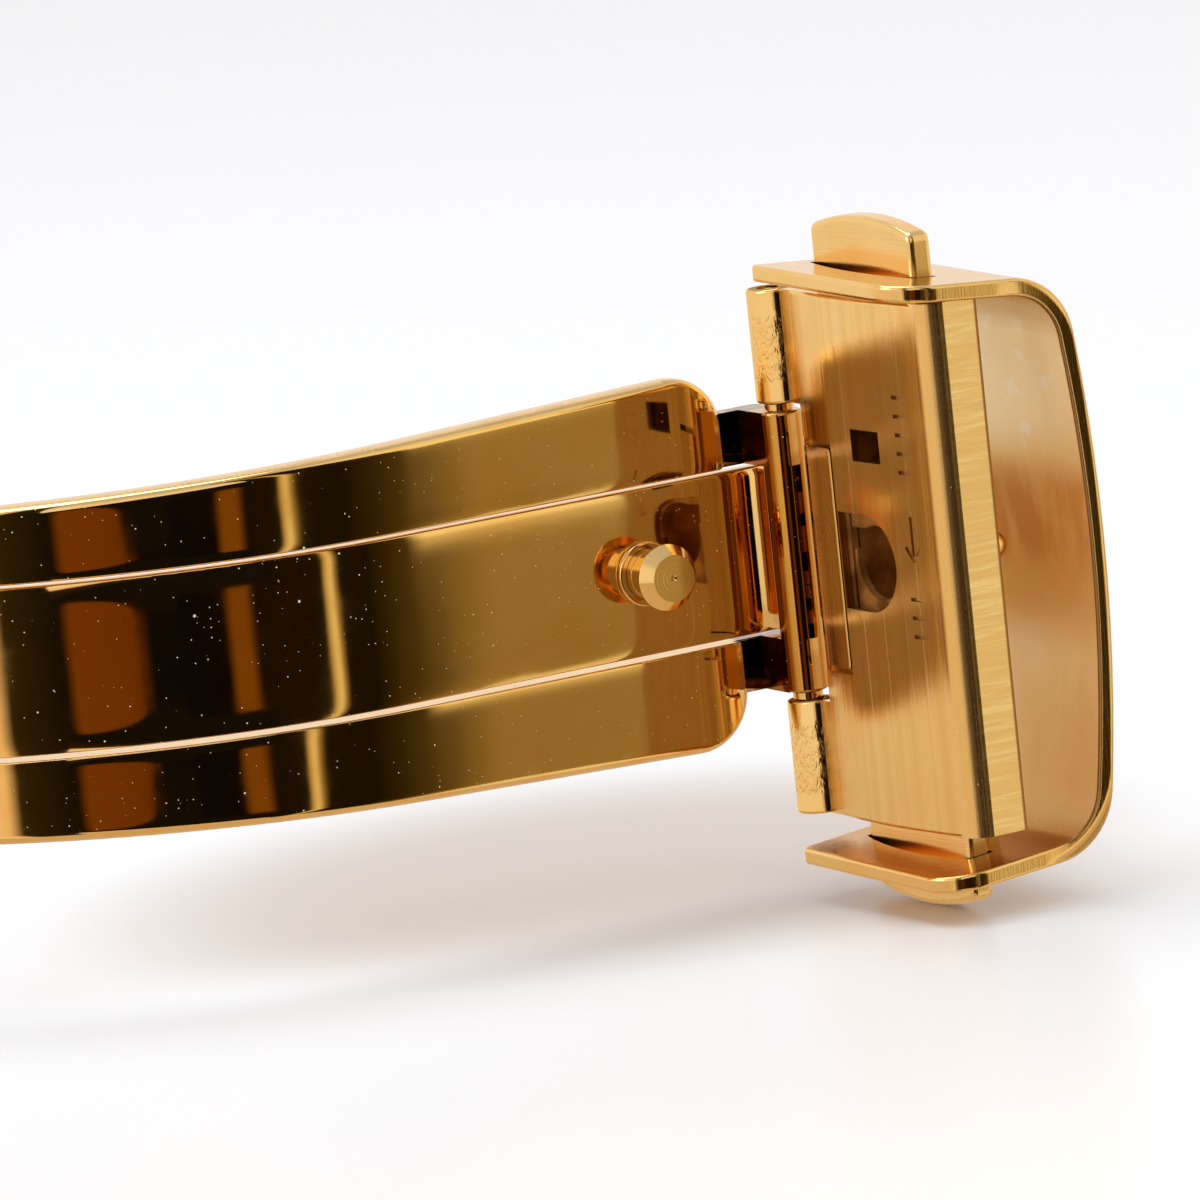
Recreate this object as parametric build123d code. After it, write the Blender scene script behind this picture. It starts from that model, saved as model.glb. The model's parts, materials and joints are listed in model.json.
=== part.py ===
from build123d import *
import math
import os

os.makedirs("parts", exist_ok=True)

# A folding strap clasp standing on its side, in millimetres.
# +Z runs along its hinges, -X along the blades and -Y away from the wrist.
# The origin is the middle of the bore that takes the strap's spring bar.

overrun = 1.0            # how far a cut runs past the metal
running_gap = 0.03       # radial play of a pin in a turning knuckle
seat_gap = 0.01          # radial play of a pin or rivet in its fixed hole

# end that carries the strap's spring bar
bar_bore_radius = 0.8
bar_barrel_radius = 1.3
hinge_to_bar = 3.5       # along the blade
hinge_to_bar_depth = 1.6

# blades
hinge_to_blade_face = 1.05
blade_thickness = 1.0
centre_blade_width = 5.56
slot_gap = 0.12
blade_flat_length = 14.0
blade_curve_radius = 20.0
blade_sweep_degrees = 52.0
blade_edge_round = 0.33
slot_edge_round = 0.06
rail_end_width = 12.6    # over both rails at their head end
lower_rail_extra = 0.2
rail_taper_per_mm = 0.0325
rail_end_setback = 1.55  # hinge axis to the rails' end
rail_corner_radius = 1.9
arm_outer_width = 9.4
arm_recess = 0.4
arm_root_overlap = 0.6

# joint between the two blades
fold_knuckle_radius = 0.85
fold_pin_radius = 0.4
fold_washer_thickness = 0.16
fold_washer_radius = 0.76
fold_knuckle_inset = 0.08
fold_pin_inset = 0.05

# joint between the frame and the head
head_knuckle_radius = 0.72
head_pin_radius = 0.36
head_knuckle_gap = 0.3
head_knuckle_inset = 0.02
head_washer_thickness = 0.2
head_washer_radius = 0.5
head_pin_inset = 0.08
knuckle_edge_round = 0.1

# catch stud
hinge_to_stud = 5.15
stud_head_radius = 1.1
stud_tip_radius = 0.78
stud_neck_radius = 0.85
stud_height = 1.87
stud_rim_height = 1.46
stud_under_height = 1.4
stud_tail_radius = 0.6
collar_thickness = 0.24
collar_radius = 1.08
stud_dimple_radius = 0.12
stud_dimple_depth = 0.1

# catch box: h is measured from the hinge, m from the hinge towards the blade when closed
box_start = 1.42
box_end = 9.38
box_width = 17.64
box_face_start = 0.05
box_face_crown = 0.22
box_face_end = -0.12
box_crown_at = 4.8
box_round_start = 8.6
box_round_end = -0.85
box_round_bulge_shares = (0.66, 0.28)
box_edge_round = 0.13
box_back = -2.13
back_plate_thickness = 0.35
face_inner = -0.25
pocket_depth = 0.2
side_wall = 0.5
end_wall_inner = 8.45
hinge_wall_outer = 0.95
hinge_wall_inner = 2.1
strip_end = 3.3
catch_hole_start = 3.36
catch_hole_middle = 4.93
catch_hole_radius = 1.62
window_start = 4.65
window_end = 6.25
window_low = 3.4
window_high = 4.47
stop_half_length = 3.68
stop_gap = 0.2
stop_corner_radius = 0.15
notch_corner_radius = 0.12
stop_floor = -0.15
stop_rise = 0.03
stop_edge_gap = 0.04

# generic marks cut in the front face
mark_depth = 0.07
mark_width = 0.13
mark_length = 0.75
mark_row = 7.55
mark_pitch = 0.62
mark_upper_start = 3.2
mark_upper_count = 5
mark_lower_start = -1.0
mark_lower_count = 3
arrow_middle = 1.0
arrow_length = 1.5
arrow_barb = 0.62
arrow_barb_degrees = 38.0

# cover
cover_thickness = 0.55
cover_edge_half_width = 10.06
cover_edge = 1.55
cover_face = -4.8
cover_crown = 0.8
cover_splay_degrees = 4.9
cover_start = 1.33
cover_end = 10.35
cover_corner_radius = 2.4
cover_tip_radius = 1.5
cover_heel_radius = 0.3
cover_edge_round = 0.12
cover_drop = 0.15        # the cover sits a little low on the box
cover_turn_degrees = 1.1

# push buttons
button_middle = 5.3
button_half_length = 3.05
button_front = -0.45
button_back = -1.3
button_rise = 1.39       # how far its middle stands out past the cover's edge
button_end_drop = 0.45
button_corner_radius = 0.35
button_edge_round = 0.2
button_play = 0.06
button_window_bulge = 0.42
button_out_travel = 0.35
button_in_travel = 0.7
shoulder_play = 0.03
slider_half_length = 2.88
slider_back = -1.5
slider_end_inset = 3.47  # from the box's end

# catches
jaw_front = -0.07
jaw_back = -0.33
jaw_radius = 1.25
jaw_half_width = 1.4     # measured from the stud axis
jaw_arm_inner = 1.55
jaw_arm_outer = 2.1
jaw_end = 2.3
jaw_bridge = 0.55
jaw_lap = 0.35           # how far the open end of a hook passes the stud's middle
jaw_lap_gap = 0.75       # between the two hooks when both buttons rest
jaw_pad_half = 1.35
jaw_pad_inset = 1.82     # from the box's end

# well that the stud's head drops into, between the springs
well_half_width = 1.5    # measured from the stud axis
well_low = -1.75
well_high = 4.36
well_wall = 0.2
well_below_jaws = 0.08

# springs
spring_radius = 0.45
spring_wall = 0.15
spring_offset = 2.25     # from the stud axis
spring_depth = -0.98

# bridges, rivets and tang
bridge_start = 2.6
bridge_end = 7.8
bridge_front = -1.45
bridge_back = -2.0
rivet_radius = 0.18
rivet_depth = 0.7
rivet_inset = 1.82       # from the box's end
tang_at = 8.1
tang_rise = 0.45
tang_radius = 0.55
tang_height = 1.0
tang_tail_radius = 0.3

hinge_x = -hinge_to_bar
hinge_y = -hinge_to_bar_depth
blade_y = hinge_y + hinge_to_blade_face
flat_end_x = hinge_x - blade_flat_length
curve_y = blade_y + blade_curve_radius
half_slot = centre_blade_width / 2 + slot_gap
half_arm = arm_outer_width / 2
fold_angle = math.radians(-90 - blade_sweep_degrees)
fold_radius = blade_curve_radius - blade_thickness / 2
fold_x = flat_end_x + fold_radius * math.cos(fold_angle)
fold_y = curve_y + fold_radius * math.sin(fold_angle)
lug_outer = rail_end_width / 2 - rail_taper_per_mm * (hinge_x - fold_x)
half_box = box_width / 2
fold_knuckle_width = centre_blade_width - 2 * fold_knuckle_inset
middle_knuckle_width = arm_outer_width
head_knuckle_inner = middle_knuckle_width / 2 + head_knuckle_gap
head_knuckle_outer = half_box - head_knuckle_inset
slider_end = half_box - slider_end_inset
jaw_pad_end = half_box - jaw_pad_inset
rivet_spread = half_box - rivet_inset
button_apex = cover_edge_half_width + button_rise
button_end_height = button_apex - button_end_drop
back_inner = box_back + back_plate_thickness

# local x is h, local y is Z and local z is m
head_plane = Plane(origin=(hinge_x, hinge_y, 0), x_dir=(0, -1, 0), z_dir=(-1, 0, 0))


def slab(x_range, y_range, z_range):
    """A block between low and high corners."""
    sizes = [high - low for low, high in (x_range, y_range, z_range)]
    middle = [(high + low) / 2 for low, high in (x_range, y_range, z_range)]
    return Pos(*middle) * Box(*sizes)


def head_slab(h_range, m_range, z_range):
    """A block in the head, in its own h and m."""
    x_range = (hinge_x - m_range[1], hinge_x - m_range[0])
    y_range = (hinge_y - h_range[1], hinge_y - h_range[0])
    return slab(x_range, y_range, z_range)


def rod(x, y, z_range, radius):
    """A round bar along Z."""
    low, high = z_range
    return Pos(x, y, (low + high) / 2) * Cylinder(radius, high - low)


def both_sides(piece):
    """A piece and its mirror image across the middle plane."""
    return [piece, mirror(piece, about=Plane.XY)]


def head_point(h, m):
    return (hinge_x - m, hinge_y - h)


def blade_band(right_x, half_width):
    """A strip of blade metal: flat near the head, then bent towards the wrist."""
    inner_y = blade_y + blade_thickness
    middle = (flat_end_x, curve_y)
    inner_radius = blade_curve_radius - blade_thickness
    outer_flat = Line((right_x, blade_y), (flat_end_x, blade_y))
    outer_bend = CenterArc(middle, blade_curve_radius, -90, -blade_sweep_degrees)
    inner_bend = CenterArc(middle, inner_radius, -90, -blade_sweep_degrees)
    tip = Line(outer_bend @ 1, inner_bend @ 1)
    inner_flat = Line((flat_end_x, inner_y), (right_x, inner_y))
    close = Line((right_x, inner_y), (right_x, blade_y))
    outline = outer_flat + outer_bend + tip + inner_bend + inner_flat + close
    return extrude(make_face(outline), amount=half_width, both=True)


def on_blade_face(edge):
    """True for an edge that lies in either broad face of the blade, seams apart."""
    spot = edge.center()
    inner_y = blade_y + blade_thickness
    if spot.X > flat_end_x:
        near = min(abs(spot.Y - blade_y), abs(spot.Y - inner_y))
    else:
        reach = math.hypot(spot.X - flat_end_x, spot.Y - curve_y)
        near = min(abs(reach - blade_curve_radius), abs(reach - blade_curve_radius + blade_thickness))
    along_z = abs((edge @ 1 - edge @ 0).Z) > 0.9 * edge.length
    at_seam = along_z and (abs(spot.X - flat_end_x) < slot_gap or spot.X < fold_x + fold_knuckle_radius)
    return near < slot_gap / 2 and not at_seam


def make_centre_blade():
    band = blade_band(0, centre_blade_width / 2)
    band = fillet(band.faces().sort_by(Axis.Z)[-1].edges(), blade_edge_round)
    band = fillet(band.faces().sort_by(Axis.Z)[0].edges(), blade_edge_round)
    half = centre_blade_width / 2
    barrel = rod(0, 0, (-half, half), bar_barrel_radius)
    barrel = fillet(barrel.edges().filter_by(GeomType.CIRCLE), knuckle_edge_round)
    half_knuckle = fold_knuckle_width / 2
    knuckle = rod(fold_x, fold_y, (-half_knuckle, half_knuckle), fold_knuckle_radius)
    blade = band + barrel + knuckle
    relief_radius = fold_knuckle_radius + slot_gap
    for side in both_sides(rod(fold_x, fold_y, (half_knuckle, half + overrun), relief_radius)):
        blade -= side
    blade -= rod(0, 0, (-half - overrun, half + overrun), bar_bore_radius)
    blade -= rod(fold_x, fold_y, (-half - overrun, half + overrun), fold_pin_radius + running_gap)
    tail_hole = Cylinder(stud_tail_radius + seat_gap, blade_thickness + 2 * overrun)
    return blade - Pos(hinge_x - hinge_to_stud, blade_y, 0) * Rot(90, 0, 0) * tail_hole


def make_rail(extra):
    """The upper rail, with its rounded shoulder at the head end."""
    end_x = hinge_x - rail_end_setback
    far_x = fold_x - overrun
    half_far = rail_end_width / 2 - rail_taper_per_mm * (hinge_x - far_x) + extra
    half_near = rail_end_width / 2 - rail_taper_per_mm * rail_end_setback + extra
    outline = Plane.XZ * Polyline(
        (far_x, half_slot), (end_x, half_slot), (end_x, half_near), (far_x, half_far), close=True
    )
    face = make_face(outline)
    shoulder = face.vertices().group_by(Axis.X)[-1].sort_by(Axis.Z)[-1]
    face = fillet(shoulder, rail_corner_radius)
    prism = extrude(face, amount=blade_curve_radius, both=True)
    rail = blade_band(end_x + overrun, rail_end_width) & prism
    edges = rail.edges().filter_by(on_blade_face)
    inner = edges.filter_by(lambda edge: edge.center().Z < half_slot + slot_gap)
    rail = fillet(inner, slot_edge_round)
    edges = rail.edges().filter_by(on_blade_face)
    outer = edges.filter_by(lambda edge: edge.center().Z > half_slot + slot_gap)
    return fillet(outer, blade_edge_round)


def make_frame_blade():
    inner_y = blade_y + blade_thickness
    arm_x = (hinge_x - rail_end_setback - arm_root_overlap, hinge_x + head_pin_radius)
    arm = slab(arm_x, (blade_y + arm_recess, inner_y), (half_slot, half_arm))
    leg_x = (hinge_x - head_knuckle_radius, hinge_x + head_pin_radius)
    leg = slab(leg_x, (hinge_y, inner_y), (half_slot, half_arm))
    corner = (arm + leg).edges().filter_by(Axis.Z).group_by(Axis.Y)[-1].sort_by(Axis.X)[-1]
    arm = fillet(corner, blade_edge_round)
    lug = rod(fold_x, fold_y, (half_slot, lug_outer), fold_knuckle_radius)
    lug = fillet(lug.edges().group_by(Axis.Z)[-1], knuckle_edge_round)
    half_knuckle = middle_knuckle_width / 2
    knuckle = rod(hinge_x, hinge_y, (-half_knuckle, half_knuckle), head_knuckle_radius)
    knuckle = fillet(knuckle.edges().filter_by(GeomType.CIRCLE), knuckle_edge_round)
    upper = make_rail(0) + arm + lug
    lower = mirror(make_rail(lower_rail_extra) + arm + lug, about=Plane.XY)
    frame = knuckle + upper + lower
    frame -= rod(hinge_x, hinge_y, (-half_knuckle - overrun, half_knuckle + overrun),
                 head_pin_radius + running_gap)
    return frame - rod(fold_x, fold_y, (-lug_outer - overrun, lug_outer + overrun),
                       fold_pin_radius + seat_gap)


def make_pin(x, y, half_length, radius):
    pin = rod(x, y, (-half_length, half_length), radius)
    return chamfer(pin.edges().filter_by(GeomType.CIRCLE), radius / 4)


def make_washers(x, y, inner_face, outer_face, thickness, radius, bore):
    """A washer each side, in the middle of the gap between two knuckles."""
    middle = (inner_face + outer_face) / 2
    span = (middle - thickness / 2, middle + thickness / 2)
    ring = rod(x, y, span, radius) - rod(x, y, span, bore)
    return Compound(both_sides(ring))


def make_stud():
    x = hinge_x - hinge_to_stud
    lip = stud_rim_height - stud_under_height
    profile = Polyline(
        (0, stud_height - stud_dimple_depth), (stud_dimple_radius, stud_height),
        (stud_tip_radius, stud_height), (stud_head_radius, stud_rim_height),
        (stud_head_radius, stud_under_height), (stud_neck_radius, stud_under_height - lip),
        (stud_neck_radius, 0), (stud_tail_radius, 0),
        (stud_tail_radius, -blade_thickness), (0, -blade_thickness), close=True
    )
    return Pos(x, blade_y, 0) * Rot(180, 0, 0) * revolve(make_face(profile), axis=Axis.Y)


def make_collar():
    """The turned ring that the stud's neck stands in."""
    ring = Cylinder(collar_radius, collar_thickness)
    ring = fillet(ring.edges().filter_by(GeomType.CIRCLE), collar_thickness / 3)
    ring -= Cylinder(stud_neck_radius + seat_gap, collar_thickness + overrun)
    return Pos(hinge_x - hinge_to_stud, blade_y - collar_thickness / 2, 0) * Rot(90, 0, 0) * ring


def make_box_form():
    """The solid outer form of the catch box, with its crowned face and rolled edge."""
    start = head_point(box_start, box_face_start)
    crown = head_point(box_crown_at, box_face_crown)
    edge_start = head_point(box_round_start, box_face_end)
    edge_end = head_point(box_end, box_round_end)
    along, across = box_round_bulge_shares
    bulge = head_point(box_round_start + along * (box_end - box_round_start),
                       box_face_end + across * (box_round_end - box_face_end))
    back_far = head_point(box_end, box_back)
    back_near = head_point(box_start, box_back)
    outline = ThreePointArc(start, crown, edge_start) + ThreePointArc(edge_start, bulge, edge_end)
    outline += Polyline(edge_end, back_far, back_near, start)
    form = extrude(make_face(outline), amount=half_box, both=True)
    ends = form.edges().filter_by(lambda edge: abs(abs(edge.center().Z) - half_box) < seat_gap)
    front = ends.filter_by(lambda edge: edge.center().X < hinge_x - face_inner)
    return fillet(front, box_edge_round)


def make_hinge_zone():
    """The part of the box form that belongs to the hinge block."""
    wide = (-half_box - overrun, half_box + overrun)
    strip = head_slab((0, strip_end), (face_inner, overrun), wide)
    wall = head_slab((0, hinge_wall_inner), (back_inner, overrun), wide)
    return strip + wall


def make_hinge_block(form):
    block = form & make_hinge_zone()
    half_notch = stop_half_length + stop_gap
    block -= head_slab((0, strip_end + overrun), (stop_floor, overrun), (-half_notch, half_notch))
    corners = block.edges().filter_by(Axis.X)
    corners = corners.filter_by(lambda edge: abs(edge.center().Y - hinge_y + box_start) < seat_gap)
    corners = corners.filter_by(lambda edge: abs(abs(edge.center().Z) - half_notch) < seat_gap)
    block = fillet(corners, notch_corner_radius)
    block -= make_jaw_pocket()
    block += head_slab((hinge_wall_outer, box_start + seat_gap), (back_inner, face_inner),
                       (-head_knuckle_outer, head_knuckle_outer))
    span = (head_knuckle_inner, head_knuckle_outer)
    web = head_slab((0, box_start), (-head_knuckle_radius, 0), span)
    knuckle = rod(hinge_x, hinge_y, span, head_knuckle_radius)
    knuckle = fillet(knuckle.edges().filter_by(GeomType.CIRCLE), knuckle_edge_round)
    for side in both_sides(web + knuckle):
        block += side
    for side in make_rivet_holes():
        block -= side
    long = (-head_knuckle_outer - overrun, head_knuckle_outer + overrun)
    return block - rod(hinge_x, hinge_y, long, head_pin_radius + seat_gap)


def make_stop_block(form):
    """The loose land that fills the notch between the two head knuckles."""
    risen = Pos(-stop_rise, 0, 0) * form
    zone = head_slab((box_start + stop_gap, strip_end - stop_edge_gap), (stop_floor, overrun),
                     (-stop_half_length, stop_half_length))
    return (risen & fillet(zone.edges().filter_by(Axis.X), stop_corner_radius)) - make_jaw_pocket()


def make_marks():
    """An arrow and two rows of plain ticks, as cutters for the front face."""
    floor = box_face_crown - mark_depth
    reach = (-mark_length / 2, mark_length / 2)
    heights = [mark_upper_start + mark_pitch * step for step in range(mark_upper_count)]
    heights += [mark_lower_start - mark_pitch * step for step in range(mark_lower_count)]
    cutters = []
    for height in heights:
        span = (height - mark_width / 2, height + mark_width / 2)
        cutters.append(head_slab((mark_row + reach[0], mark_row + reach[1]),
                                 (mark_floor_at(mark_row), floor + overrun), span))
    half_arrow = arrow_length / 2
    shaft = (mark_row - mark_width / 2, mark_row + mark_width / 2)
    level = (mark_floor_at(mark_row), floor + overrun)
    cutters.append(head_slab(shaft, level, (arrow_middle - half_arrow, arrow_middle + half_arrow)))
    for turn in (-arrow_barb_degrees, arrow_barb_degrees):
        barb = Pos(0, 0, arrow_barb / 2) * Box(overrun, mark_width, arrow_barb)
        tip = Pos(hinge_x - level[0] - overrun / 2, hinge_y - mark_row, arrow_middle - half_arrow)
        cutters.append(tip * Rot(turn, 0, 0) * barb)
    return cutters


def mark_floor_at(h):
    """How deep a mark is cut so that it follows the crowned face."""
    share = (h - box_crown_at) / (box_round_start - box_crown_at)
    return box_face_crown + (box_face_end - box_face_crown) * share ** 2 - mark_depth


def make_rivet_holes():
    return [make_rivet(h, z, rivet_radius + seat_gap, overrun) for h, z in rivet_places()]


def rivet_places():
    hinge_row = (box_start + hinge_wall_inner) / 2
    end_row = (end_wall_inner + box_end) / 2
    return [(h, z) for h in (hinge_row, end_row) for z in (-rivet_spread, rivet_spread)]


def make_rivet(h, z, radius, extra):
    """A round rivet along m, from the back face into a wall of the box."""
    length = back_plate_thickness + rivet_depth + extra
    middle = box_back + (back_plate_thickness + rivet_depth - extra) / 2
    return head_plane * Pos(h, z, middle) * Cylinder(radius, length)


def make_jaw_pocket():
    """The shallow recess behind the front plate that the two hooks slide in."""
    half = jaw_pad_end + button_out_travel + button_play
    reach = jaw_arm_outer + button_play
    return head_slab((hinge_to_stud - reach, hinge_to_stud + reach),
                     (box_back, face_inner + pocket_depth), (-half, half))


def make_catch_box(form):
    wide = (-half_box - overrun, half_box + overrun)
    box = form - head_slab((0, box_end + overrun), (box_back - overrun, back_inner), wide)
    box -= make_hinge_zone()
    inner = half_box - side_wall
    box -= head_slab((0, end_wall_inner), (box_back, face_inner), (-inner, inner))
    box -= make_jaw_pocket()
    box -= head_slab((button_middle - button_half_length - button_play,
                      button_middle + button_half_length + button_play),
                     (button_back - button_play, button_front + button_play), wide)
    round_part = head_plane * Pos(catch_hole_middle, 0, 0) * Cylinder(catch_hole_radius, 2 * overrun)
    square_part = head_slab((catch_hole_start, catch_hole_middle), (-overrun, overrun),
                            (-catch_hole_radius, catch_hole_radius))
    keep = head_slab((catch_hole_start, box_end), (-overrun, overrun), wide)
    box -= (round_part + square_part) & keep
    box -= head_slab((window_start, window_end), (-overrun, overrun), (window_low, window_high))
    for cutter in make_marks() + make_rivet_holes():
        box -= cutter
    return box


def make_back_plate(form):
    wide = (-half_box - overrun, half_box + overrun)
    plate = form & head_slab((0, box_end + overrun), (box_back, back_inner), wide)
    for cutter in make_rivet_holes():
        plate -= cutter
    tail_hole = Cylinder(tang_tail_radius + seat_gap, back_plate_thickness + 2 * overrun)
    return plate - head_plane * Pos(tang_at, tang_rise, box_back) * tail_hole


def make_rivets():
    return Compound([make_rivet(h, z, rivet_radius, 0) for h, z in rivet_places()])


def make_tang():
    """The domed pin that goes through a hole in the strap."""
    profile = make_face(
        Line((0, -back_plate_thickness), (tang_tail_radius, -back_plate_thickness))
        + Line((tang_tail_radius, -back_plate_thickness), (tang_tail_radius, 0))
        + Line((tang_tail_radius, 0), (tang_radius, 0))
        + Line((tang_radius, 0), (tang_radius, tang_height - tang_radius))
        + CenterArc((0, tang_height - tang_radius), tang_radius, 0, 90)
        + Line((0, tang_height), (0, -back_plate_thickness))
    )
    turned = revolve(profile, axis=Axis.Y)
    return head_plane * Pos(tang_at, tang_rise, box_back) * Rot(-90, 0, 0) * turned


def make_cover_wall():
    """The sprung sheet that wraps round the box, open towards the blades."""
    lean = math.tan(math.radians(cover_splay_degrees))
    half_corner = cover_edge_half_width - (cover_edge - cover_face) * lean
    edge_x = hinge_x - cover_edge
    corner_x = hinge_x - cover_face

    def outline(inset):
        x = corner_x - inset
        half_far = half_corner - inset
        half_near = cover_edge_half_width - inset
        start_x = edge_x
        if inset:
            start_x = edge_x - overrun
            half_near += overrun * lean
        crown = ThreePointArc((x, half_far), (x + cover_crown, 0), (x, -half_far))
        sides = Polyline((x, -half_far), (start_x, -half_near), (start_x, half_near), (x, half_far))
        face = make_face(Plane.XZ * (crown + sides))
        corners = face.vertices().group_by(Axis.X)[-1]
        return fillet(corners, cover_corner_radius - inset)

    wall = outline(0) - outline(cover_thickness)
    cover = extrude(wall, amount=cover_end - cover_start, dir=(0, -1, 0))
    return Pos(0, hinge_y - cover_start, -cover_drop) * Rot(cover_turn_degrees, 0, 0) * cover


def make_cover(wall):
    edge_x = hinge_x - cover_edge
    tips = wall.edges().filter_by(lambda edge: edge.center().X < edge_x + seat_gap)
    tips = tips.filter_by(lambda edge: edge.length < 2 * cover_thickness).sort_by(Axis.Y)
    wall = fillet(tips[:2], cover_tip_radius)
    heels = wall.edges().filter_by(lambda edge: edge.center().X < edge_x + seat_gap)
    heels = heels.filter_by(lambda edge: edge.length < 2 * cover_thickness).sort_by(Axis.Y)
    wall = fillet(heels[-2:], cover_heel_radius)
    end_faces = wall.faces().sort_by(Axis.Y)
    wall = fillet(end_faces[0].edges(), cover_edge_round)
    return wall - make_button_windows()


def make_button_windows():
    """The slots in the two flanges, each bowed out in front of its button."""
    low = button_middle - button_half_length - button_play
    high = button_middle + button_half_length + button_play
    front = button_front + button_play
    back = button_back - button_play
    bow = ThreePointArc((low, front), (button_middle, front + button_window_bulge), (high, front))
    sides = Polyline((high, front), (high, back), (low, back), (low, front))
    slot = extrude(make_face(bow + sides), amount=button_apex + overrun, both=True)
    return Plane(origin=(hinge_x, hinge_y, 0), x_dir=(0, -1, 0), z_dir=(0, 0, -1)) * slot


def make_bridges(wall):
    """The two soldered blocks that hold the cover on the box."""
    outer = cover_edge_half_width + overrun
    block = head_slab((bridge_start, bridge_end), (bridge_back, bridge_front), (half_box, outer))
    cut = [(side - wall).solids().sort_by(lambda solid: abs(solid.center().Z)) for side in both_sides(block)]
    return Compound([pieces[0] for pieces in cut])


def make_button():
    low = button_middle - button_half_length
    high = button_middle + button_half_length
    shoulder = half_box - side_wall - button_out_travel - shoulder_play
    arch = ThreePointArc((low, button_end_height), (button_middle, button_apex), (high, button_end_height))
    sides = Polyline((high, button_end_height), (high, shoulder), (low, shoulder), (low, button_end_height))
    face = make_face(arch + sides)
    corners = face.vertices().filter_by(lambda spot: spot.Y > shoulder + overrun)
    face = fillet(corners, button_corner_radius)
    cap = extrude(face, amount=button_front - button_back)
    top_edges = cap.edges().filter_by(lambda edge: edge.center().Y > button_end_height - button_corner_radius)
    top_edges = top_edges.filter_by(lambda edge: abs((edge @ 1 - edge @ 0).Z) < seat_gap)
    cap = fillet(top_edges, button_edge_round)
    cap = head_plane * Pos(0, 0, button_back) * cap
    slider = head_slab((button_middle - slider_half_length, button_middle + slider_half_length),
                       (slider_back, button_front), (slider_end, shoulder))
    return cap + slider


def make_catch(turn):
    """A flat hook that reaches past the stud and catches it from the far side."""
    def place(offset, height):
        return (hinge_to_stud + turn * offset, turn * height)

    arm = [place(jaw_arm_inner, jaw_pad_end), place(jaw_arm_outer, jaw_pad_end),
           place(jaw_arm_outer, -jaw_end), place(-jaw_half_width, -jaw_end),
           place(-jaw_half_width, jaw_lap), place(0, jaw_lap),
           place(0, -jaw_lap - jaw_lap_gap), place(jaw_half_width, -jaw_lap - jaw_lap_gap),
           place(jaw_half_width, jaw_bridge - jaw_end), place(jaw_arm_inner, jaw_bridge - jaw_end)]
    pad = [place(-jaw_pad_half, jaw_pad_end), place(jaw_arm_outer, jaw_pad_end),
           place(jaw_arm_outer, slider_end), place(-jaw_pad_half, slider_end)]
    hook = make_face(Polyline(*arm, close=True)) - Pos(hinge_to_stud, 0) * Circle(jaw_radius)
    hook = extrude(hook, amount=jaw_front - jaw_back)
    seat = extrude(make_face(Polyline(*pad, close=True)), amount=jaw_front - button_front)
    return head_plane * (Pos(0, 0, jaw_back) * hook + Pos(0, 0, button_front) * seat)


def make_well():
    """An open frame on the back plate that keeps the springs away from the stud's head."""
    depth = (back_inner, jaw_back - well_below_jaws)
    outer = well_half_width + well_wall
    block = head_slab((hinge_to_stud - outer, hinge_to_stud + outer), depth,
                      (well_low - well_wall, well_high + well_wall))
    hollow = head_slab((hinge_to_stud - well_half_width, hinge_to_stud + well_half_width),
                       (box_back, overrun), (well_low, well_high))
    return block - hollow


def make_spring(h):
    """The outer form of a fine compression spring between the two sliders."""
    x, y = head_point(h, spring_depth)
    span = (-slider_end, slider_end)
    return rod(x, y, span, spring_radius) - rod(x, y, span, spring_radius - spring_wall)


box_form = make_box_form()
cover_wall = make_cover_wall()
upper_button = make_button()

nodes = {
    "centre_blade": make_centre_blade(),
    "catch_stud": make_stud(),
    "stud_collar": make_collar(),
    "frame_blade": make_frame_blade(),
    "fold_pin": make_pin(fold_x, fold_y, lug_outer - fold_pin_inset, fold_pin_radius),
    "fold_washers": make_washers(fold_x, fold_y, fold_knuckle_width / 2, half_slot,
                                 fold_washer_thickness, fold_washer_radius,
                                 fold_pin_radius + running_gap),
    "hinge_block": make_hinge_block(box_form),
    "head_pin": make_pin(hinge_x, hinge_y, head_knuckle_outer - head_pin_inset, head_pin_radius),
    "head_washers": make_washers(hinge_x, hinge_y, middle_knuckle_width / 2, head_knuckle_inner,
                                 head_washer_thickness, head_washer_radius,
                                 head_pin_radius + running_gap),
    "stop_block": make_stop_block(box_form),
    "catch_box": make_catch_box(box_form),
    "back_plate": make_back_plate(box_form),
    "back_plate_rivets": make_rivets(),
    "strap_tang": make_tang(),
    "stud_well": make_well(),
    "head_cover": make_cover(cover_wall),
    "side_bridges": make_bridges(cover_wall),
    "upper_button": upper_button,
    "lower_button": mirror(upper_button, about=Plane.XY),
    "upper_catch": make_catch(1),
    "lower_catch": make_catch(-1),
    "hinge_side_spring": make_spring(hinge_to_stud - spring_offset),
    "free_side_spring": make_spring(hinge_to_stud + spring_offset),
}

for name, shape in nodes.items():
    export_step(shape, f"parts/{name}.step")

print("fold axis", round(fold_x, 4), round(fold_y, 4))
print("head hinge axis", hinge_x, hinge_y)
print("button travel out and in", button_out_travel, button_in_travel)
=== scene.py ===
import bpy
import json
import math
from mathutils import Matrix, Vector


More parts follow.
